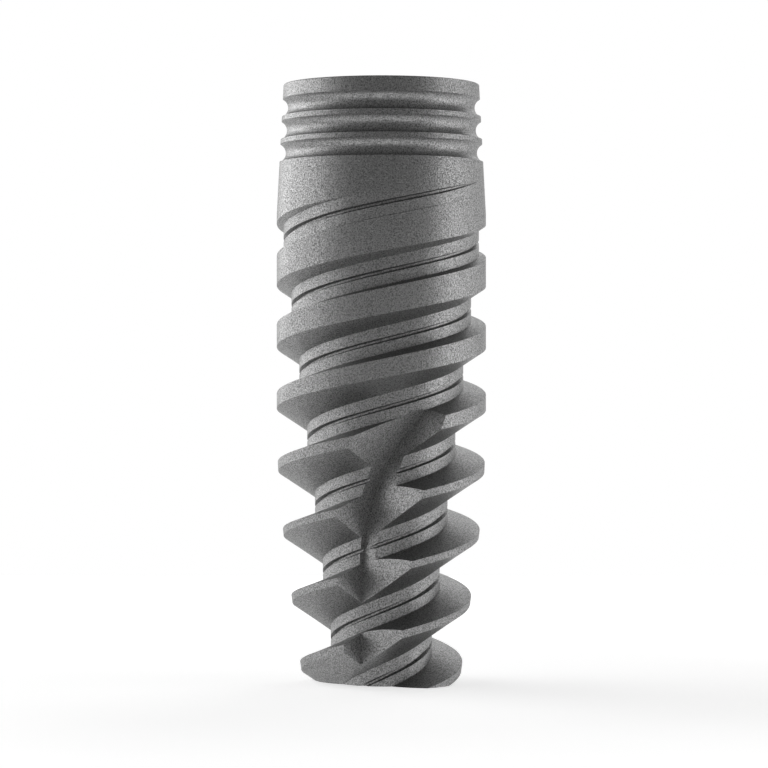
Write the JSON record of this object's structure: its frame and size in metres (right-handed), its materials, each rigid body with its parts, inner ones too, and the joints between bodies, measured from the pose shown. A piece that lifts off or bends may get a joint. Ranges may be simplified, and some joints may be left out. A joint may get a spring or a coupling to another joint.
{
  "type": "dental implant",
  "caption": "Tapered titanium dental implant: a ringed collar over a deep multi-start helical thread, V flutes at the apex and an internal hexagon that takes an abutment.",
  "frame": {"origin": "on the implant's axis, in the plane of the flat apex face that it stands on", "axes": "+Z along the axis from the apex to the platform; -Y towards the side whose flute the picture shows; +X to the right in that view"},
  "size_m": [0.004, 0.004, 0.0114],
  "materials": {
    "titanium": "grit-blasted, matt grey with a fine speckle"
  },
  "bodies": {
    "root": {"implant_body": "titanium"}
  },
  "joints": []
}
